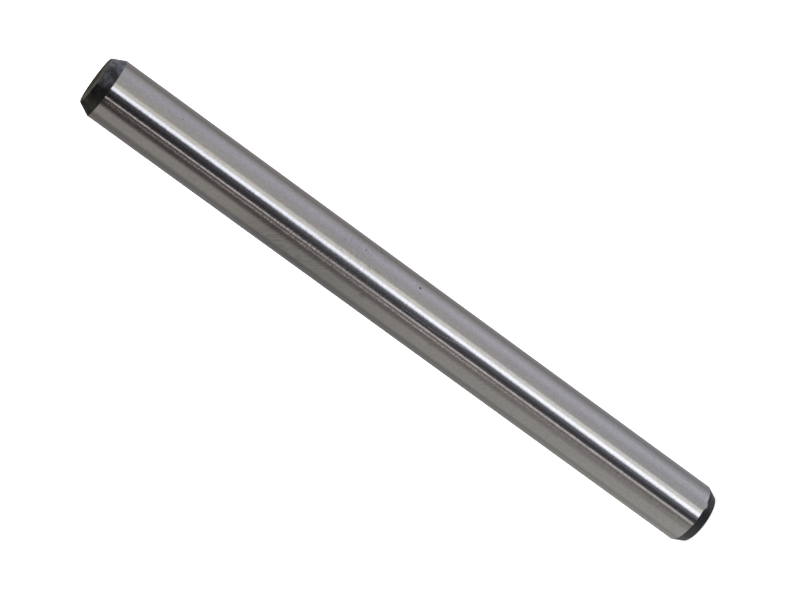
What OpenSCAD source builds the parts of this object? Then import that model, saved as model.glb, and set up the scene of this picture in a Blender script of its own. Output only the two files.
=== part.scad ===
// Locking pin: a straight, ground steel pin with a chamfered lead at each end.
// It is turned from one bar and stands on its lower end face, with its axis along +Z
// and the origin at the middle of that face. Every size is in millimetres.

/* [Shank] */
// Ground diameter of the shank
pin_d = 8; // [4:0.5:20]
// Overall length, from end face to end face
pin_len = 92; // [40:1:200]

/* [Lead chamfers] */
// Length of the upper chamfer along the axis
top_lead_len = 1.7; // [0.4:0.1:2.4]
// Length of the lower chamfer along the axis
bottom_lead_len = 1.4; // [0.4:0.1:2.4]
// Angle of both chamfers from the axis, in degrees
lead_angle = 26.5; // [15:0.5:35]

/* [Edges] */
// Radius that breaks the edge of the upper end face
top_edge_r = 0.35; // [0.1:0.05:0.45]
// Radius that breaks the edge of the lower end face
bottom_edge_r = 0.15; // [0.1:0.05:0.45]

/* [Hidden] */
round_fn = 128;
pin_r = pin_d / 2;
// The arc of a broken edge is cut this much over its radius, so that it crosses
// the face and the chamfer at a small angle and leaves no sliver between them
arc_over = 1.005;

// Radius of an end face before its edge is broken, for a chamfer of this length
function face_r(lead_len) = pin_r - lead_len * tan(lead_angle);

// Middle of the arc that breaks a face's edge: edge_r from the face and from the chamfer
function arc_centre(lead_len, edge_r) =
    [face_r(lead_len) - edge_r * tan((90 - lead_angle) / 2), edge_r];

// What the broken edge takes off the sharp corner between face and chamfer
module edge_waste(lead_len, edge_r) {
    centre = arc_centre(lead_len, edge_r);
    out = 2 * edge_r;
    difference() {
        polygon([
            centre,
            [centre.x, -edge_r],
            [centre.x + out, -edge_r],
            centre + out * [cos(lead_angle), -sin(lead_angle)],
        ]);
        translate(centre) circle(r = arc_over * edge_r, $fn = round_fn);
    }
}

// Half of the section of one end: the face at y = 0, its chamfer and the shank up to full_y
module end_section(lead_len, edge_r, full_y) {
    difference() {
        polygon([
            [0, 0],
            [face_r(lead_len), 0],
            [pin_r, lead_len],
            [pin_r, full_y],
            [0, full_y],
        ]);
        edge_waste(lead_len, edge_r);
    }
}

// Half of the pin's section: the lower end, then the upper end turned over on top of it
module pin_section() {
    end_section(bottom_lead_len, bottom_edge_r, pin_len / 2);
    translate([0, pin_len]) mirror([0, 1]) end_section(top_lead_len, top_edge_r, pin_len / 2);
}

module locking_pin() {
    color("silver") rotate_extrude($fn = round_fn) pin_section();
}

locking_pin();
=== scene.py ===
# %% [markdown]
# # A ground steel locking pin
# A locking pin is a plain round bar, ground to size, with a chamfered lead at each end. It
# slides through aligned holes and holds them together. This lesson turns its visible skin
# with Geometry Nodes, gives it two finishes, ground steel and black heat-treatment scale,
# and lights it as a small studio would.

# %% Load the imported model
import math

import bpy
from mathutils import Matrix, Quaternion, Vector


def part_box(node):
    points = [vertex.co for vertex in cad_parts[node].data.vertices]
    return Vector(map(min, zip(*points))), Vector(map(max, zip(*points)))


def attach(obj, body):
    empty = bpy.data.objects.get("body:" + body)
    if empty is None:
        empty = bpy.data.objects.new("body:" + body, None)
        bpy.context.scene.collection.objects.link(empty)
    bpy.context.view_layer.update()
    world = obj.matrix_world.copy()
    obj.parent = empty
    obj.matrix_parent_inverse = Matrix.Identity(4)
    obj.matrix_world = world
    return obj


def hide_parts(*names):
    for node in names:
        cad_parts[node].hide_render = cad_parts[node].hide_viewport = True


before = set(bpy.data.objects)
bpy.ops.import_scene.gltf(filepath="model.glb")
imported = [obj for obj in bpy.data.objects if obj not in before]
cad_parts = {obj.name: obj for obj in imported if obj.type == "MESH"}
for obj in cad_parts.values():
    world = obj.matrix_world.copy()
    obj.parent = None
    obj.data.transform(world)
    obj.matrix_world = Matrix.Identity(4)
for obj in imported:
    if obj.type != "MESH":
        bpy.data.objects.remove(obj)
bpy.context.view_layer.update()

# %% [markdown]
# Sizes come first, in millimetres, as a turner reads them off a drawing. The radius and the
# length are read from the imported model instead, so the skin and the solid can't drift apart.

# %% Sizes of the pin
MM = 0.001


def mm(size):
    return size * MM


low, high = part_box("locking_pin")
RADIUS = (high[1] - low[1]) / 2
LENGTH = high[2] - low[2]
UPPER_LEAD = mm(1.7)
LOWER_LEAD = mm(1.4)
LEAD_ANGLE = math.radians(26.5)
UPPER_FACE_EDGE = mm(0.35)
LOWER_FACE_EDGE = mm(0.15)
SHANK_EDGE = mm(0.05)
LONGEST_STEP = mm(0.8)
STEPS_ROUND = 256
EDGE_STEPS = 6
SAME_POINT = mm(0.0005)  # points closer than this are one point
print(f"pin: {RADIUS * 2 / MM:.2f} mm across, {LENGTH / MM:.2f} mm long")

# %% [markdown]
# One small function, `add`, makes every node below. It adds the node, sets its options, and
# feeds its inputs. A list goes to the live sockets, the ones those options leave in use, from
# the top down, and a dictionary goes by name. Each input gets a value, one output of another
# node, or a whole node, which gives its first live output. `colour` turns a colour as a
# painter writes it, in hex, into the linear numbers that light is worked out in. Two patterns
# take several nodes each, so they have functions too: a soft band, and noise whose grains
# have a size in metres.

# %% Helpers for nodes and colours
def feed(node, inputs):
    """Feeds a node's inputs, from the top down or by name."""
    live = [socket for socket in node.inputs if socket.enabled]
    pairs = inputs.items() if isinstance(inputs, dict) else enumerate(inputs)
    for key, value in pairs:
        socket = node.inputs[key] if isinstance(key, str) else live[key]
        if isinstance(value, bpy.types.Node):
            value = next(output for output in value.outputs if output.enabled)
        if isinstance(value, bpy.types.NodeSocket):
            node.id_data.links.new(value, socket)
        else:
            socket.default_value = value


def add(tree, kind, inputs=(), **options):
    """Adds one node, with its options and its inputs."""
    node = tree.nodes.new(kind)
    for name, value in options.items():
        setattr(node, name, value)
    feed(node, inputs)
    return node


def colour(hex_code):
    channels = [int(hex_code[i : i + 2], 16) / 255 for i in (0, 2, 4)]
    linear = [c / 12.92 if c <= 0.04045 else ((c + 0.055) / 1.055) ** 2.4 for c in channels]
    return (*linear, 1.0)


# %% Helpers for bands, grains and materials
SOFT = {"interpolation_type": "SMOOTHSTEP"}  # turns a Map Range node into a soft step


def band(tree, value, low, high, low_soft, high_soft):
    """1 from low to high, fading over a soft half-width at each end."""
    rising = add(tree, "ShaderNodeMapRange", [value, low - low_soft, low + low_soft], **SOFT)
    falling = add(tree, "ShaderNodeMapRange", [value, high - high_soft, high + high_soft, 1.0, 0.0], **SOFT)
    return add(tree, "ShaderNodeMath", [rising, falling], operation="MULTIPLY")


def grains(tree, place, across, along, detail=2.0, shift=0.0):
    """Noise from 0 to 1 whose grains are across wide and along high, in metres."""
    per_metre = (1 / across, 1 / across, 1 / along)
    where = [place, per_metre, (shift, shift, shift)]
    spot = add(tree, "ShaderNodeVectorMath", where, operation="MULTIPLY_ADD")
    return add(tree, "ShaderNodeTexNoise", {"Vector": spot, "Scale": 1.0, "Detail": detail})


def new_material(name):
    material = bpy.data.materials.new(name)
    material.use_nodes = True
    tree = material.node_tree
    tree.nodes.clear()
    return material, tree


# %% [markdown]
# ## The turned shape
# A lathe makes a round part by turning one outline about an axis. A Geometry Nodes tree can
# do the same: six corner points make the outline, Fillet Curve breaks its edges, Subdivide
# Curve keeps its steps short, and a grid lends one column of points to each step round the
# axis. The Screw modifier could do it too, but a tree keeps every size as a named input,
# and its grid brings a UV map whose seam is one straight line at the back.

# %% Start the lathe's tree, with a named input for each size
lathe = bpy.data.node_groups.new("turned_on_a_lathe", "GeometryNodeTree")
lathe.is_modifier = True
lathe_inputs = {}
for name, kind in (
    ("Radius", "Float"),
    ("Length", "Float"),
    ("Lower lead", "Float"),
    ("Upper lead", "Float"),
    ("Lead angle", "Float"),
    ("Lower face edge", "Float"),
    ("Upper face edge", "Float"),
    ("Shank edge", "Float"),
    ("Longest step", "Float"),
    ("Steps round", "Int"),
    ("Ground steel", "Material"),
    ("Black scale", "Material"),
):
    socket = lathe.interface.new_socket(name, in_out="INPUT", socket_type="NodeSocket" + kind)
    lathe_inputs[name] = socket.identifier
lathe.interface.new_socket("Pin", in_out="OUTPUT", socket_type="NodeSocketGeometry")
size = add(lathe, "NodeGroupInput").outputs
print("lathe inputs:", ", ".join(lathe_inputs))


# %% Place the outline's six corners
def by_index(values, data_type):
    """A field that gives values[0] to point 0, values[1] to point 1, and so on."""
    switch = add(lathe, "GeometryNodeIndexSwitch", data_type=data_type)
    while len(switch.index_switch_items) < len(values):
        switch.index_switch_items.new()
    feed(switch, [add(lathe, "GeometryNodeInputIndex"), *values])
    return switch


def face_radius(lead):
    """What a lead of this length leaves of the radius at the flat face."""
    slope = add(lathe, "ShaderNodeMath", [size["Lead angle"]], operation="TANGENT")
    taken_off = add(lathe, "ShaderNodeMath", [lead, slope], operation="MULTIPLY")
    return add(lathe, "ShaderNodeMath", [size["Radius"], taken_off], operation="SUBTRACT")


shank_top = add(lathe, "ShaderNodeMath", [size["Length"], size["Upper lead"]], operation="SUBTRACT")
corners = (
    (0.0, 0.0),
    (face_radius(size["Lower lead"]), 0.0),
    (size["Radius"], size["Lower lead"]),
    (size["Radius"], shank_top),
    (face_radius(size["Upper lead"]), size["Length"]),
    (0.0, size["Length"]),
)
edge_radii = (
    0.0,
    size["Lower face edge"],
    size["Shank edge"],
    size["Shank edge"],
    size["Upper face edge"],
    0.0,
)
places = [add(lathe, "ShaderNodeCombineXYZ", {"X": x, "Z": z}) for x, z in corners]
points = add(
    lathe,
    "GeometryNodePoints",
    {"Count": len(corners), "Position": by_index(places, "VECTOR")},
)
outline = add(lathe, "GeometryNodePointsToCurves", {"Points": points})

# %% Break its edges and shorten its steps
fillets = {"Curve": outline, "Count": EDGE_STEPS, "Radius": by_index(edge_radii, "FLOAT")}
broken = add(lathe, "GeometryNodeFilletCurve", fillets, mode="POLY")
here = add(lathe, "GeometryNodeInputPosition")
own_number = add(lathe, "GeometryNodeInputIndex")
next_number = add(lathe, "ShaderNodeMath", [own_number, 1], operation="ADD")
at_next = {"Value": here, "Index": next_number}
ahead = add(lathe, "GeometryNodeFieldAtIndex", at_next, data_type="FLOAT_VECTOR")
gap = add(lathe, "ShaderNodeVectorMath", [here, ahead], operation="DISTANCE")
steps = add(lathe, "ShaderNodeMath", [gap, size["Longest step"]], operation="DIVIDE")
cuts = add(lathe, "ShaderNodeMath", [steps], operation="FLOOR")
profile = add(lathe, "GeometryNodeSubdivideCurve", {"Curve": broken, "Cuts": cuts})

# %% Lay out a grid, one column for each step round
counted = add(lathe, "GeometryNodeAttributeDomainSize", [profile], component="CURVE")
rows = counted.outputs["Point Count"]
columns = add(lathe, "ShaderNodeMath", [size["Steps round"], 1], operation="ADD")
grid = add(lathe, "GeometryNodeMeshGrid", {"Vertices X": columns, "Vertices Y": rows})
along = add(lathe, "ShaderNodeSeparateXYZ", [grid.outputs["UV Map"]]).outputs
last_row = add(lathe, "ShaderNodeMath", [rows, 1], operation="SUBTRACT")
row = add(lathe, "ShaderNodeMath", [along["Y"], last_row], operation="MULTIPLY")
row = add(lathe, "ShaderNodeMath", [row], operation="ROUND")

# %% Turn the outline round the axis
BACK = math.radians(90)
on_profile = add(
    lathe,
    "GeometryNodeSampleIndex",
    [profile, here, row],
    data_type="FLOAT_VECTOR",
    domain="POINT",
)
station = add(lathe, "ShaderNodeSeparateXYZ", [on_profile]).outputs
turn = add(lathe, "ShaderNodeMath", [along["X"], math.tau, BACK], operation="MULTIPLY_ADD")
cosine = add(lathe, "ShaderNodeMath", [turn], operation="COSINE")
sine = add(lathe, "ShaderNodeMath", [turn], operation="SINE")
turned = add(
    lathe,
    "ShaderNodeCombineXYZ",
    {
        "X": add(lathe, "ShaderNodeMath", [station["X"], cosine], operation="MULTIPLY"),
        "Y": add(lathe, "ShaderNodeMath", [station["X"], sine], operation="MULTIPLY"),
        "Z": station["Z"],
    },
)

# %% Keep the unrolled skin as a UV map, and move the grid into place
how_far = add(lathe, "GeometryNodeSplineParameter").outputs["Factor"]
reach = add(lathe, "GeometryNodeSampleIndex", [profile, how_far, row], data_type="FLOAT", domain="POINT")
unrolled = add(
    lathe,
    "GeometryNodeStoreNamedAttribute",
    {
        "Geometry": grid.outputs["Mesh"],
        "Name": "OFBake",
        "Value": add(lathe, "ShaderNodeCombineXYZ", {"X": along["X"], "Y": reach}),
    },
    data_type="FLOAT2",
    domain="CORNER",
)
shaped = add(lathe, "GeometryNodeSetPosition", {"Geometry": unrolled, "Position": turned})

# %% Close the seam and the poles, and hand each face its finish
closed = add(lathe, "GeometryNodeMergeByDistance", {"Geometry": shaped, "Distance": SAME_POINT})
smooth = add(lathe, "GeometryNodeSetShadeSmooth", {"Geometry": closed})
height = add(lathe, "ShaderNodeSeparateXYZ", [here]).outputs["Z"]
on_lower_end = add(lathe, "ShaderNodeMath", [height, size["Lower lead"]], operation="LESS_THAN")
on_upper_end = add(lathe, "ShaderNodeMath", [height, shank_top], operation="GREATER_THAN")
on_an_end = add(lathe, "ShaderNodeMath", [on_lower_end, on_upper_end], operation="MAXIMUM")
real = add(lathe, "GeometryNodeRealizeInstances", {"Geometry": smooth})
all_over = {"Geometry": real, "Material": size["Ground steel"]}
steel_on = add(lathe, "GeometryNodeSetMaterial", all_over)
at_the_ends = {"Geometry": steel_on, "Selection": on_an_end, "Material": size["Black scale"]}
scale_on = add(lathe, "GeometryNodeSetMaterial", at_the_ends)
add(lathe, "NodeGroupOutput", {"Pin": scale_on})
print("lathe tree:", len(lathe.nodes), "nodes")

# %% [markdown]
# ## Ground steel
# The shank is hardened steel, ground between centreless wheels. The wheels leave lines too
# fine to see one by one, and they run round the bar, so the steel mirrors its surroundings
# sharply across the bar and softly along it. A Principled metal does both with anisotropic
# roughness. Image textures of ground steel exist, but noise worked out in millimetres stays
# sharp at any distance and needs no file.

# %% Start the steel's tree
ground_steel, steel = new_material("centreless_ground_steel")
steel_place = add(steel, "ShaderNodeTexCoord").outputs["Object"]
x, y, z = add(steel, "ShaderNodeSeparateXYZ", [steel_place]).outputs
# radians round the bar from its front, growing to the right
forward = add(steel, "ShaderNodeMath", [y, -1.0], operation="MULTIPLY")
around = add(steel, "ShaderNodeMath", [x, forward], operation="ARCTAN2")

# %% [markdown]
# The last pass of the wheel leaves a faint hatch in the middle of the bar: short lines that
# climb round it like a steep thread, and on the right a few that cross them. Turning each
# point back round the axis by its height unwinds that thread, so upright noise in the unwound
# space is a hatch on the bar, and it meets itself at the back with no seam. The real lines are
# a few hundredths of a millimetre apart. These are over a quarter of a millimetre wide, and
# the grain is as coarse, so that they show.

# %% Hatch, grain, specks and clouds
LAY_ANGLE = math.radians(47)
CROSS_ANGLE = math.radians(-60)
LINE_WIDTH = mm(0.28)
LINE_LENGTH = mm(0.8)
GRAIN_ROUND, GRAIN_UP = mm(0.30), mm(0.20)


def wound(angle):
    """The steel's own space, turned back round the axis so that lines at this angle stand upright."""
    turn_back = add(steel, "ShaderNodeMath", [z, math.tan(angle) / RADIUS], operation="MULTIPLY")
    turned_back = {"Vector": steel_place, "Angle": turn_back}
    return add(steel, "ShaderNodeVectorRotate", turned_back, rotation_type="Z_AXIS")


hatch = grains(steel, wound(LAY_ANGLE), LINE_WIDTH, LINE_LENGTH, detail=1)
cross_hatch = grains(steel, wound(CROSS_ANGLE), LINE_WIDTH, LINE_LENGTH / 2, detail=1, shift=4.2)
grain = grains(steel, steel_place, GRAIN_ROUND, GRAIN_UP, detail=2, shift=1.7)
specks = grains(steel, steel_place, mm(0.25), mm(0.35), detail=2, shift=5.1)
clouds = grains(steel, steel_place, mm(3), mm(6), detail=2, shift=8.3)
print("hatch lines:", round(LINE_WIDTH / MM, 2), "mm wide")


# %% Where the wheel left its marks
# A mark's place across the bar goes by x alone, so the back of the bar has the same marks.
def stretch(foot, top, foot_soft, top_soft, across):
    """A stretch of the bar, between two heights in millimetres, on the part that across gives."""
    along_the_bar = band(steel, z, mm(foot), mm(top), mm(foot_soft), mm(top_soft))
    return add(steel, "ShaderNodeMath", [along_the_bar, across], operation="MULTIPLY")


towards_left = add(steel, "ShaderNodeMapRange", [x, mm(-0.8), mm(0.4), 1.0, 0.2], **SOFT)
towards_right = add(steel, "ShaderNodeMapRange", [x, mm(-0.5), mm(1.5)], **SOFT)
down_the_front = band(steel, x, mm(-0.8), mm(0.2), mm(0.2), mm(0.4))
# the hatch, the duller metal under it, the strokes that cross it, and dull lines at the front
hatched = stretch(57, 67, 9, 5, towards_left)
dulled = stretch(52, 59, 8, 9, towards_left)
crossed = stretch(50, 58, 3, 3, towards_right)
streaked = stretch(46, 66, 8, 6, down_the_front)

# %% [markdown]
# Handling leaves a few pits and a scratch. Each pit is a spot within a small distance of a
# point on the surface. The scratch is what lies near a line drawn down the bar, which bends
# round it towards its foot.

# %% Pits
# height in millimetres, degrees round from the front, width in millimetres, and depth from 0 to 1
PITS = (
    (46.3, 43, 0.30, 1.0),
    (46.0, 32, 0.26, 0.25),
    (54.4, 40, 0.26, 0.55),
    (53.5, 37, 0.28, 0.20),
    (56.2, 38, 0.24, 0.25),
    (57.1, 13, 0.20, 0.40),
    (54.4, 20, 0.20, 0.35),
    (57.3, 33, 0.40, 0.15),
    (81.3, 35, 0.24, 0.40),
    (83.2, 33, 0.22, 0.25),
    (51.7, -31, 0.90, 0.22),
    (41.5, -32, 0.80, 0.10),
    (70.0, 150, 0.30, 0.70),
    (28.0, -140, 0.26, 0.60),
    (61.0, 205, 0.40, 0.30),
)


def pit_mask(height, degrees_round, width, depth):
    angle = math.radians(degrees_round)
    centre = (RADIUS * math.sin(angle), -RADIUS * math.cos(angle), mm(height))
    away = add(steel, "ShaderNodeVectorMath", [steel_place, centre], operation="DISTANCE")
    floor_of_pit, rim_of_pit = mm(width) * 0.25, mm(width) * 0.6
    return add(steel, "ShaderNodeMapRange", [away, floor_of_pit, rim_of_pit, depth, 0.0], **SOFT)


pitted = pit_mask(*PITS[0])
for pit in PITS[1:]:
    pitted = add(steel, "ShaderNodeMath", [pitted, pit_mask(*pit)], operation="MAXIMUM")
print("pits:", len(PITS))

# %% Scratch
SCRATCH_FOOT, SCRATCH_BEND, SCRATCH_TOP = mm(37.6), mm(41.8), mm(47.0)
SCRATCH_SIDES = (math.radians(1.5), math.radians(-6.0))  # round the bar: at its foot, above the bend
SCRATCH_WIDTH = mm(0.10)
drawn_at = add(steel, "ShaderNodeMapRange", [z, SCRATCH_FOOT, SCRATCH_BEND, *SCRATCH_SIDES], **SOFT)
from_it = add(steel, "ShaderNodeMath", [around, drawn_at], operation="SUBTRACT")
from_it = add(steel, "ShaderNodeMath", [from_it], operation="ABSOLUTE")
beside = add(steel, "ShaderNodeMath", [from_it, RADIUS], operation="MULTIPLY")
on_line = add(steel, "ShaderNodeMapRange", [beside, 0.0, SCRATCH_WIDTH, 1.0, 0.0], **SOFT)
within = band(steel, z, SCRATCH_FOOT, SCRATCH_TOP, mm(0.4), mm(1.5))
scratched = add(steel, "ShaderNodeMath", [on_line, within], operation="MULTIPLY")

# %% Colour of the steel
# Steel this dull mirrors about four tenths of the light, a little less of the blue. On its left
# the hatched stretch is slightly darker, where the wheel rubbed.
STEEL, PALER_STEEL = colour("A4A3A1"), colour("AEADAB")
SPECK, RUBBED, LINE, PIT = colour("949392"), colour("8E8E8B"), colour("6E6D6B"), colour("1C1A19")
LINE_DARKNESS, CROSSING_DARKNESS = 0.42, 0.40
with_specks = add(steel, "ShaderNodeMapRange", [specks, 0.35, 0.65, 0.0, 0.38], **SOFT)
far_left = add(steel, "ShaderNodeMapRange", [x, mm(-2.0), mm(-0.8), 0.45, 0.0], **SOFT)
rubbed = stretch(50, 68, 6, 4, far_left)
lines = add(steel, "ShaderNodeMapRange", [hatch, 0.35, 0.65], **SOFT)
darkness = add(steel, "ShaderNodeMath", [hatched, LINE_DARKNESS], operation="MULTIPLY")
dark_lines = add(steel, "ShaderNodeMath", [lines, darkness], operation="MULTIPLY")
crossing = add(steel, "ShaderNodeMapRange", [cross_hatch, 0.56, 0.72], **SOFT)
darkness = add(steel, "ShaderNodeMath", [crossed, CROSSING_DARKNESS], operation="MULTIPLY")
dark_crossing = add(steel, "ShaderNodeMath", [crossing, darkness], operation="MULTIPLY")
tone = add(steel, "ShaderNodeMix", [clouds, STEEL, PALER_STEEL], data_type="RGBA")
for mark, its_colour in (
    (with_specks, SPECK),
    (rubbed, RUBBED),
    (dark_lines, LINE),
    (dark_crossing, LINE),
    (pitted, PIT),
):
    tone = add(steel, "ShaderNodeMix", [mark, tone, its_colour], data_type="RGBA")

# %% Dullness of the steel
# The wheel's grit gives a fine dullness, and pits, hatch and the scratch are duller still.
# Each number is what that mark adds to the roughness, and a pit's is the roughness in it.
CLEAN_STEEL, PIT_DULLNESS = 0.095, 0.6
GRAIN_ADDS, WHEEL_ADDS, LINES_ADD, SCRATCH_ADDS = 0.12, 0.08, 0.07, 0.28
dull_lines = add(steel, "ShaderNodeMath", [lines, streaked], operation="MULTIPLY")
dullness = CLEAN_STEEL
for mark, adds in ((grain, GRAIN_ADDS), (dulled, WHEEL_ADDS), (dull_lines, LINES_ADD)):
    dullness = add(steel, "ShaderNodeMath", [mark, adds, dullness], operation="MULTIPLY_ADD")
in_pits = add(steel, "ShaderNodeMath", [pitted, PIT_DULLNESS], operation="MULTIPLY")
dullness = add(steel, "ShaderNodeMath", [dullness, in_pits], operation="MAXIMUM")
dullness = add(steel, "ShaderNodeMath", [scratched, SCRATCH_ADDS, dullness], operation="MULTIPLY_ADD")

# %% Relief of the steel, and its shader
# Relief is in millimetres: microns of hatch, grain and scratch, and pits two hundredths deep.
FAINT_HATCH, DEEP_HATCH, CROSS_DEPTH, GRAIN_DEPTH = 0.0010, 0.0080, 0.0090, 0.0038
SCRATCH_DEPTH, PIT_DEPTH = 0.002, 0.02
hatch_depth = add(steel, "ShaderNodeMath", [hatched, DEEP_HATCH, FAINT_HATCH], operation="MULTIPLY_ADD")
cross_depth = add(steel, "ShaderNodeMath", [crossed, CROSS_DEPTH], operation="MULTIPLY")
relief = add(steel, "ShaderNodeMath", [hatch, hatch_depth], operation="MULTIPLY")
for mark, depth in (
    (cross_hatch, cross_depth),
    (grain, GRAIN_DEPTH),
    (scratched, -SCRATCH_DEPTH),
    (pitted, -PIT_DEPTH),
):
    relief = add(steel, "ShaderNodeMath", [mark, depth, relief], operation="MULTIPLY_ADD")
steel_surface = add(
    steel,
    "ShaderNodeBsdfPrincipled",
    {
        "Base Color": tone,
        "Metallic": 1.0,
        "Roughness": dullness,
        "Anisotropic": 0.75,
        "Anisotropic Rotation": 0.25,
        "Tangent": add(steel, "ShaderNodeTangent", direction_type="RADIAL", axis="Z"),
        "Normal": add(steel, "ShaderNodeBump", {"Strength": 1.0, "Distance": MM, "Height": relief}),
    },
)
add(steel, "ShaderNodeOutputMaterial", {"Surface": steel_surface})
print("ground steel:", len(steel.nodes), "nodes")

# %% [markdown]
# ## Black scale
# The ends keep the black oxide skin of the heat treatment, because the grinding wheel never
# reaches them. It is a thin dull layer. On the upper end it is nearly black in the middle and a
# greenish black on the left, and on the right a mottled bluish grey sheen is painted in, which
# stands for reflected light. The flat face is a brownish olive near its front edge, painted
# reflection that it catches at a grazing angle. On the lower end it is a bluish black, a little
# paler on the left, and it is rubbed through to bright steel along one short stretch of the
# edge. A film that thin has no shape of its own, so it is a second material on the same
# turned skin, and noise breaks it up.

# %% Where the scale lies
black_scale, scale = new_material("heat_treatment_scale")
scale_place = add(scale, "ShaderNodeTexCoord").outputs["Object"]
sx, sy, sz = add(scale, "ShaderNodeSeparateXYZ", [scale_place]).outputs
from_middle = add(scale, "ShaderNodeMath", [sz, LENGTH / 2], operation="SUBTRACT")
from_middle = add(scale, "ShaderNodeMath", [from_middle], operation="ABSOLUTE")
chamfer_stops, face_starts = LENGTH / 2 - mm(0.12), LENGTH / 2 - mm(0.02)
on_face = add(scale, "ShaderNodeMapRange", [from_middle, chamfer_stops, face_starts], **SOFT)
on_upper_half = add(scale, "ShaderNodeMapRange", [sz, LENGTH * 0.4, LENGTH * 0.6], **SOFT)
level = add(scale, "ShaderNodeVectorMath", [scale_place, (1, 1, 0)], operation="MULTIPLY")
from_axis = add(scale, "ShaderNodeVectorMath", [level], operation="LENGTH")
near_the_rim = add(scale, "ShaderNodeMapRange", [from_axis, mm(0.8), mm(2.6)], **SOFT)
towards_front = add(scale, "ShaderNodeMapRange", [sy, mm(-0.5), mm(1.5), 1.0, 0.0], **SOFT)

# %% Mottle and fine grit
mottle = grains(scale, scale_place, mm(0.9), mm(0.7), detail=4, shift=7.7)
grit = grains(scale, scale_place, mm(0.12), mm(0.12), detail=2, shift=2.2)
shade = add(scale, "ShaderNodeMapRange", [mottle, 0.35, 0.65], **SOFT)

# %% Tone of the upper end, with a painted bluish sheen on its right
at_left = add(scale, "ShaderNodeMapRange", [sx, mm(-2.4), mm(-1.2), 1.0, 0.0], **SOFT)
# the right of the upper chamfer, where a bluish grey sheen is painted in for reflected light
sheen_on_right = add(scale, "ShaderNodeMapRange", [sx, mm(-0.4), mm(0.4)], **SOFT)
more_sheen_far_right = add(scale, "ShaderNodeMapRange", [sx, mm(1.9), mm(3.1)], **SOFT)


def tone_and_sheen_round_the_end(middle, left, right, far_right):
    """One tone of the upper end, from the left of its chamfer to the right, where a bluish sheen is painted
    in for reflected light.
    """
    result = colour(middle)
    for side, hex_code in ((at_left, left), (sheen_on_right, right), (more_sheen_far_right, far_right)):
        result = add(scale, "ShaderNodeMix", [side, result, colour(hex_code)], data_type="RGBA")
    return result


# the scale's own black in the middle and greenish black on the left, with a painted bluish grey sheen of
# reflected light on the right, in a darker and a lighter tone for the mottle
dark_upper_and_sheen = tone_and_sheen_round_the_end("121212", "23221F", "2A2B2E", "484A52")
light_upper_and_sheen = tone_and_sheen_round_the_end("1E1E1E", "30302C", "4A4B4F", "6C6E76")
upper_tone_and_sheen = add(scale, "ShaderNodeMix", [shade, dark_upper_and_sheen, light_upper_and_sheen], data_type="RGBA")

# %% Tone of the lower end, and of the flat faces with their painted reflection
DARK_LOWER, LIGHT_LOWER, LOWER_LEFT = colour("15151B"), colour("2A2A31"), colour("343437")
# the brownish tones are painted reflection near the face's front edge, and FACE_BLACK is the face's own
# olive black
DARK_BROWN_REFLECTION, LIGHT_BROWN_REFLECTION, FACE_BLACK = colour("4B463A"), colour("5E584A"), colour("34322B")
lower_tone = add(scale, "ShaderNodeMix", [shade, DARK_LOWER, LIGHT_LOWER], data_type="RGBA")
paler = add(scale, "ShaderNodeMapRange", [sx, mm(-1.6), mm(-0.4), 0.6, 0.0], **SOFT)
lower_tone = add(scale, "ShaderNodeMix", [paler, lower_tone, LOWER_LEFT], data_type="RGBA")
scale_tone_with_painted_reflections = add(scale, "ShaderNodeMix", [on_upper_half, lower_tone, upper_tone_and_sheen], data_type="RGBA")
# the flat face: its own olive black, and near its front rim a brownish tone painted in for the reflection
# it catches at a grazing angle
painted_brown_reflection = add(scale, "ShaderNodeMix", [shade, DARK_BROWN_REFLECTION, LIGHT_BROWN_REFLECTION], data_type="RGBA")
front_reflection_mask = add(scale, "ShaderNodeMath", [near_the_rim, towards_front], operation="MULTIPLY")
face_tone_and_reflection = add(scale, "ShaderNodeMix", [front_reflection_mask, FACE_BLACK, painted_brown_reflection], data_type="RGBA")
scale_tone_with_painted_reflections = add(scale, "ShaderNodeMix", [on_face, scale_tone_with_painted_reflections, face_tone_and_reflection], data_type="RGBA")

# %% Where the lower edge is rubbed bright
# The rub reaches a third of a millimetre down the chamfer, a little to the right of the front.
# It goes by x alone, so the back has one to match.
RUB_REACH, RUB_FADE, RAGGED = mm(0.33), mm(0.20), mm(0.5)
BARE_STEEL = colour("A2A19F")
rub_place = band(scale, sx, mm(1.2), mm(2.3), mm(0.6), mm(0.5))
rub_depth = add(scale, "ShaderNodeMath", [rub_place, RUB_REACH], operation="MULTIPLY")
rub_edge = add(scale, "ShaderNodeMath", [LOWER_LEAD, rub_depth], operation="SUBTRACT")
uneven = add(scale, "ShaderNodeMath", [mottle, 0.5], operation="SUBTRACT")
ragged_height = add(scale, "ShaderNodeMath", [uneven, RAGGED, sz], operation="MULTIPLY_ADD")
past_edge = add(scale, "ShaderNodeMath", [ragged_height, rub_edge], operation="SUBTRACT")
bare = add(scale, "ShaderNodeMapRange", [past_edge, 0.0, RUB_FADE], **SOFT)
on_lower_half = add(scale, "ShaderNodeMath", [1.0, on_upper_half], operation="SUBTRACT")
worn = add(scale, "ShaderNodeMath", [bare, on_lower_half], operation="MULTIPLY")
scale_tone_with_painted_reflections = add(scale, "ShaderNodeMix", [worn, scale_tone_with_painted_reflections, BARE_STEEL], data_type="RGBA")

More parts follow.
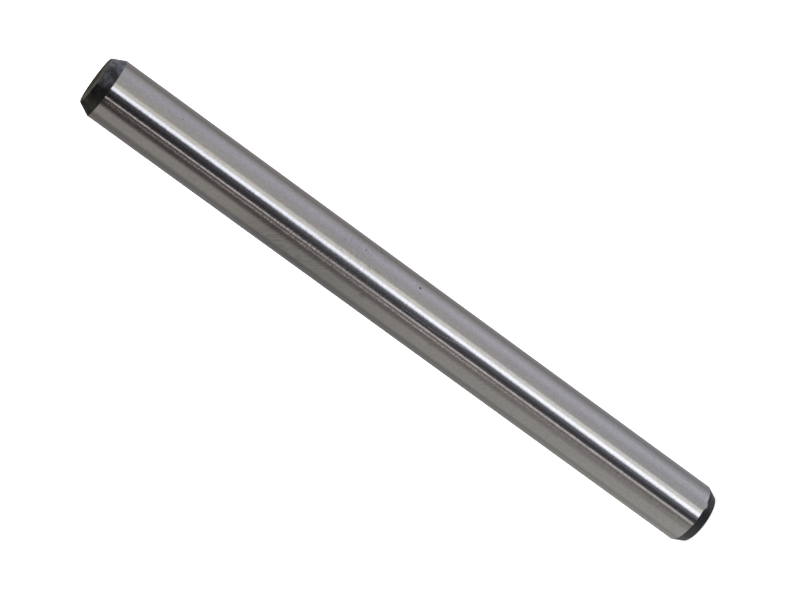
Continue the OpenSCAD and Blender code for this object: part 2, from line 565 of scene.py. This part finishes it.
# %% Put the scale together
# The leads are half dull, a little less so where the mottle is pale, and the flat faces are
# nearly matt.
DULLEST, SHINIER, FACE_DULLNESS = 0.5, 0.2, 0.95
SCALE_RELIEF, GRIT_SHARE = mm(0.004), 0.4
BARE_METAL = 0.8  # of 1, where the scale is worn through
lead_dullness = add(scale, "ShaderNodeMath", [mottle, -SHINIER, DULLEST], operation="MULTIPLY_ADD")
face_dullness = add(scale, "ShaderNodeMath", [on_face, FACE_DULLNESS], operation="MULTIPLY")
scale_dullness = add(scale, "ShaderNodeMath", [lead_dullness, face_dullness], operation="MAXIMUM")
scale_relief = add(scale, "ShaderNodeMath", [grit, GRIT_SHARE, mottle], operation="MULTIPLY_ADD")
raised = {"Strength": 1.0, "Distance": SCALE_RELIEF, "Height": scale_relief}
oxide = add(
    scale,
    "ShaderNodeBsdfPrincipled",
    {
        "Base Color": scale_tone_with_painted_reflections,
        "Metallic": add(scale, "ShaderNodeMath", [worn, BARE_METAL], operation="MULTIPLY"),
        "Roughness": scale_dullness,
        "IOR": 1.5,
        "Specular IOR Level": 0.15,
        "Normal": add(scale, "ShaderNodeBump", raised),
    },
)
add(scale, "ShaderNodeOutputMaterial", {"Surface": oxide})
print("black scale:", len(scale.nodes), "nodes")

# %% [markdown]
# ## The turned mesh
# The tree now runs once, as a modifier on an empty mesh. Its result is taken off as a plain
# mesh, so that the piece has no live modifier, and the blank is thrown away.

# %% Run the lathe and keep its result as a plain mesh
blank = bpy.data.objects.new("blank", bpy.data.meshes.new("blank"))
bpy.context.scene.collection.objects.link(blank)
turning = blank.modifiers.new("lathe", "NODES")
turning.node_group = lathe
for name, value in (
    ("Radius", RADIUS),
    ("Length", LENGTH),
    ("Lower lead", LOWER_LEAD),
    ("Upper lead", UPPER_LEAD),
    ("Lead angle", LEAD_ANGLE),
    ("Lower face edge", LOWER_FACE_EDGE),
    ("Upper face edge", UPPER_FACE_EDGE),
    ("Shank edge", SHANK_EDGE),
    ("Longest step", LONGEST_STEP),
    ("Steps round", STEPS_ROUND),
    ("Ground steel", ground_steel),
    ("Black scale", black_scale),
):
    turning[lathe_inputs[name]] = value
depsgraph = bpy.context.evaluated_depsgraph_get()
turned_mesh = bpy.data.meshes.new_from_object(
    blank.evaluated_get(depsgraph), preserve_all_data_layers=True, depsgraph=depsgraph
)
turned_mesh.name = "ground_pin"
bpy.data.objects.remove(blank)
pin = bpy.data.objects.new("ground_pin", turned_mesh)
bpy.context.scene.collection.objects.link(pin)
turned_mesh.materials.pop(index=0)  # the grid's own empty slot
print("pin mesh:", len(turned_mesh.vertices), "points,", len(turned_mesh.polygons), "faces")
for index, material in enumerate(turned_mesh.materials):
    count = sum(polygon.material_index == index for polygon in turned_mesh.polygons)
    print(" ", material.name, "on", count, "faces")

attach(pin, "root")
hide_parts("locking_pin")

# %% [markdown]
# ## The studio
# Ground steel has hardly any look of its own: it shows what stands round it. So the world is
# a plain white studio, and in it stand cards, flags and strip lights that only mirrors see.
# A card's place is its bearing round the pin, in degrees from the camera's side towards the
# right, and its colours are given for its upper, middle and lower parts. Area lights and
# planes could stand there instead, but a rule in the world is free of noise.

# %% White studio, and where a mirror ray goes
WHITE = (1.0, 1.0, 1.0, 1.0)
CARD_TOP, CARD_FOOT = -5, -19  # degrees of rise where a card's upper and lower colours are pure
CARD_MIDDLE = (CARD_TOP + CARD_FOOT) / 2
TO_DEGREES = 180 / math.pi
world = bpy.data.worlds.new("studio")
bpy.context.scene.world = world
world.use_nodes = True
studio = world.node_tree
studio.nodes.clear()
towards = add(studio, "ShaderNodeTexCoord").outputs["Generated"]
ray = add(studio, "ShaderNodeSeparateXYZ", [towards]).outputs
to_front = add(studio, "ShaderNodeMath", [ray["Y"], -1.0], operation="MULTIPLY")
front_angle = add(studio, "ShaderNodeMath", [ray["X"], to_front], operation="ARCTAN2")
back_angle = add(studio, "ShaderNodeMath", [ray["X"], ray["Y"]], operation="ARCTAN2")
rise_angle = add(studio, "ShaderNodeMath", [ray["Z"]], operation="ARCSINE")
from_front, from_back, rise = [
    add(studio, "ShaderNodeMath", [angle, TO_DEGREES], operation="MULTIPLY")
    for angle in (front_angle, back_angle, rise_angle)
]
below_top = add(studio, "ShaderNodeMapRange", [rise, CARD_TOP, CARD_MIDDLE])
below_middle = add(studio, "ShaderNodeMapRange", [rise, CARD_MIDDLE, CARD_FOOT])


# %% One card
def card(behind, left, right, soft, upper, middle, lower, strength=1.0, rises=None, bearing=from_front):
    """Stands a card in front of behind: its bearings, the softness of its two sides, its colours."""
    cover = band(studio, bearing, left, right, *soft)
    if rises:
        between = band(studio, rise, *rises)
        cover = add(studio, "ShaderNodeMath", [cover, between], operation="MULTIPLY")
    face = add(studio, "ShaderNodeMix", [below_top, colour(upper), colour(middle)], data_type="RGBA")
    face = add(studio, "ShaderNodeMix", [below_middle, face, colour(lower)], data_type="RGBA")
    if strength != 1.0:
        face = add(studio, "ShaderNodeVectorMath", [face, strength], operation="SCALE")
    return add(studio, "ShaderNodeMix", [cover, behind, face], data_type="RGBA")


# %% Cards on the left
LEFT_END, RIGHT_END = -190, 190  # past the back, so that a wall has no end there
mirrored = WHITE
# the wall in the room's shadow, and the lit wall
mirrored = card(mirrored, LEFT_END, -20, (2, 2), "2E2A28", "8C8684", "C8C5C2")
mirrored = card(mirrored, LEFT_END, -60, (2, 9), "C4BFBB", "BAB6B2", "DEDCDA")
# the lit wall's far part: its dim top, the part itself, and a grey strip across it
far_top = {"rises": (-6.5, 30, 1, 3)}
far_strip = {"rises": (-10.5, -7.2, 1, 1)}
mirrored = card(mirrored, LEFT_END, -101, (2, 7), "928E8A", "928E8A", "928E8A", **far_top)
mirrored = card(mirrored, LEFT_END, -111, (2, 8), "928E8A", "8F8D8B", "C2C0BD")
mirrored = card(mirrored, LEFT_END, -118, (2, 6), "9A98A0", "9A98A0", "9A98A0", **far_strip)
# the back of the room
mirrored = card(mirrored, LEFT_END, -162, (2, 6), "BEBBB7", "BEBCB9", "D2D0CD")

# %% A board with bright edges
# a narrow grey board, dark at its top, and the short bright edge at its left
mirrored = card(mirrored, -43, -22, (2, 2), "241F1C", "A69E9F", "A5A1A2")
second_edge = {"strength": 3.6, "rises": (-12.8, -10.6, 0.8, 0.8)}
mirrored = card(mirrored, -41.5, -36.5, (1.5, 1.5), "F4E6E8", "F4E6E8", "F4E6E8", **second_edge)
# the dark patch under that edge, the long bright edge at the right, and the pale foot beside it
dark_patch = {"rises": (-17.5, -14, 1, 1)}
pale_foot = {"rises": (-40, -15, 3, 3)}
mirrored = card(mirrored, -42, -34, (2, 2), "484445", "484445", "484445", **dark_patch)
mirrored = card(mirrored, -28.1, -24.4, (0.6, 0.6), "E8DEDC", "FFF6F5", "F0EDEB", 1.58)
mirrored = card(mirrored, -32, -27, (1.5, 1), "E6E0E0", "E6E0E0", "EEEAE8", **pale_foot)

# %% Cards on the right
# the near wall, its lavender part, the glow in its middle, the far wall, and the back of the room
mirrored = card(mirrored, 0, 105, (2, 10), "E3DFDC", "E3DFE0", "DDDDE3")
mirrored = card(mirrored, 56, 106, (10, 10), "DEDCE3", "E0DEE7", "DCDCE6")
mirrored = card(mirrored, 67, 94, (12, 9), "E2E0ED", "F4F2FF", "F4F3FF")
mirrored = card(mirrored, 107, RIGHT_END, (14, 2), "A7A3A4", "ABA6A6", "B2B1BA")
mirrored = card(mirrored, 162, RIGHT_END, (6, 2), "C4C0C0", "C6C2C2", "CCCAD0")

# %% The strip light beside the camera
# its cream edge, the light itself, the dark flag beside it, the light it spills on the flag,
# and the light's pale foot
mirrored = card(mirrored, 18, 32, (3, 4), "EAE5DC", "FFFCF8", "FFFEFC", 1.54)
mirrored = card(mirrored, 6.8, 18.2, (2.8, 3.5), "DFE3F2", "EDF1FF", "F6F8FF", 2.95)
mirrored = card(mirrored, -22.5, 4, (1.5, 3), "101013", "6A6970", "504F56")
mirrored = card(mirrored, -6.5, 4.5, (5, 2), "4A4A52", "7D808C", "9A9EAC")
mirrored = card(mirrored, 3.8, 9, (2, 2), "EAEEFF", "EAEEFF", "F2F5FF", 2.7, rises=(-40, -15, 5, 5))

# %% Behind the pin
# a second flag and strip light, which show when the pin is seen from behind
mirrored = card(mirrored, -17, -2, (2, 1), "2A292B", "3E3D40", "4A494D", bearing=from_back)
mirrored = card(mirrored, -1, 9, (1, 3), "D8D8DC", "F0F1F6", "FAFBFF", 2.2, (-40, -9, 5, 4), from_back)

# %% Above and below the cards
# a dark ceiling, with one soft window high on the right, and white paper below, which only the
# chamfers and the edges catch
CEILING, PAPER = colour("3C3A34"), colour("F0F0F0")
overhead = add(studio, "ShaderNodeMapRange", [rise, 5, 13], **SOFT)
underneath = add(studio, "ShaderNodeMapRange", [rise, -42, -35, 1.0, 0.0], **SOFT)
mirrored = add(studio, "ShaderNodeMix", [overhead, mirrored, CEILING], data_type="RGBA")
mirrored = add(studio, "ShaderNodeMix", [underneath, mirrored, PAPER], data_type="RGBA")
mirrored = card(mirrored, 60, 140, (25, 25), "9AA0AA", "9AA0AA", "9AA0AA", rises=(18, 50, 8, 10))
mirror_ray = add(studio, "ShaderNodeLightPath").outputs["Is Glossy Ray"]
seen = add(studio, "ShaderNodeMix", [mirror_ray, WHITE, mirrored], data_type="RGBA")
backdrop = add(studio, "ShaderNodeBackground", {"Color": seen, "Strength": 1.0})
add(studio, "ShaderNodeOutputWorld", {"Surface": backdrop})
print("studio:", len(studio.nodes), "nodes")

# %% [markdown]
# ## The floor
# The floor is white paper. Paper sends back a little less light than it gets, so for the
# camera it is lifted to the white of the backdrop, and it keeps the pin's soft shadow. It is
# hidden from mirror rays, which go on down to the cards' lower parts.

# %% Floor
FLOOR_HALF = 6.0  # metres, far past the edges of the picture
FLOOR_LIFT = 0.60  # light added to the paper where the camera sees it
sides = ((-1, -1), (1, -1), (1, 1), (-1, 1))
floor_corners = [(u * FLOOR_HALF, v * FLOOR_HALF, 0.0) for u, v in sides]
floor_mesh = bpy.data.meshes.new("floor")
floor_mesh.from_pydata(floor_corners, [], [(0, 1, 2, 3)])
floor = bpy.data.objects.new("floor", floor_mesh)
bpy.context.scene.collection.objects.link(floor)
floor.visible_glossy = False
white_paper, paper = new_material("white_paper")
looks = add(paper, "ShaderNodeLightPath").outputs
seen_straight, seen_through = looks["Is Camera Ray"], looks["Is Transmission Ray"]
to_the_eye = add(paper, "ShaderNodeMath", [seen_straight, seen_through], operation="MAXIMUM")
lift = add(paper, "ShaderNodeMath", [to_the_eye, FLOOR_LIFT], operation="MULTIPLY")
matt = add(
    paper,
    "ShaderNodeBsdfPrincipled",
    {
        "Base Color": colour("FAFAFA"),
        "Roughness": 1.0,
        "Specular IOR Level": 0.0,
        "Emission Color": WHITE,
        "Emission Strength": lift,
    },
)
add(paper, "ShaderNodeOutputMaterial", {"Surface": matt})
floor_mesh.materials.append(white_paper)

# %% [markdown]
# ## The camera
# The pin stands upright on the paper. A long lens looks a little down on it from a little
# over a third of a metre away, and the camera is rolled over by more than half a right angle,
# so that the upright pin lies along the diagonal of the frame.

# %% Camera
CAMERA_PLACE = Vector((0.0, mm(-362.2), mm(124.5)))
CAMERA_AIM = Vector((mm(0.15), 0.0, mm(46.82)))
CAMERA_ROLL = math.radians(-53.95)
LENS, SENSOR_WIDTH = 138.2, 36.0  # in real millimetres, as Blender asks
NEAREST = 0.01
camera_data = bpy.data.cameras.new("camera")
camera_data.lens = LENS
camera_data.sensor_width = SENSOR_WIDTH
camera_data.clip_start = NEAREST
camera = bpy.data.objects.new("camera", camera_data)
bpy.context.scene.collection.objects.link(camera)
camera.location = CAMERA_PLACE
level_view = (CAMERA_AIM - CAMERA_PLACE).to_track_quat("-Z", "Y")
camera.rotation_mode = "QUATERNION"
camera.rotation_quaternion = level_view @ Quaternion((0.0, 0.0, 1.0), CAMERA_ROLL)
bpy.context.scene.camera = camera
bpy.context.scene.view_settings.view_transform = "Standard"
print("camera:", round((CAMERA_AIM - CAMERA_PLACE).length / MM), "mm from the pin's middle")
